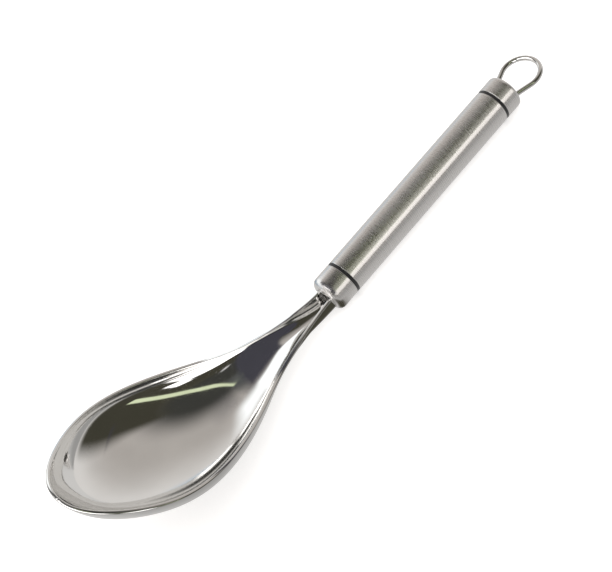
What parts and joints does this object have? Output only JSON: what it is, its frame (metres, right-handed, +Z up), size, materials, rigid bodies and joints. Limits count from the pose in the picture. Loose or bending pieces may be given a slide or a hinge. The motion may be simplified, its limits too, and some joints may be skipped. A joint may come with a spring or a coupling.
{
  "type": "serving spoon",
  "caption": "Serving spoon with a deep pressed steel bowl, a channelled neck, a round tubular steel handle with capped ends, black trim rings and a wire loop to hang it by.",
  "frame": {"origin": "level with the lowest point, below the middle of the spoon's length", "axes": "+X along the handle from the bowl to the loop, +Z up out of the bowl"},
  "size_m": [0.2944, 0.0736, 0.0545],
  "materials": {
    "polished_steel": "mirror-polished stainless steel",
    "brushed_steel": "satin, with fine lines around the handle",
    "black_plastic": "moulded, satin black",
    "plug_nylon": "moulded, matt black"
  },
  "bodies": {
    "root": {"spoon_bowl": "polished_steel", "front_cap": "brushed_steel", "front_ring": "black_plastic", "neck_plug": "plug_nylon", "handle_tube": "brushed_steel", "rear_plug": "plug_nylon", "rear_ring": "black_plastic", "rear_cap": "brushed_steel", "hanging_loop": "polished_steel"}
  },
  "joints": []
}
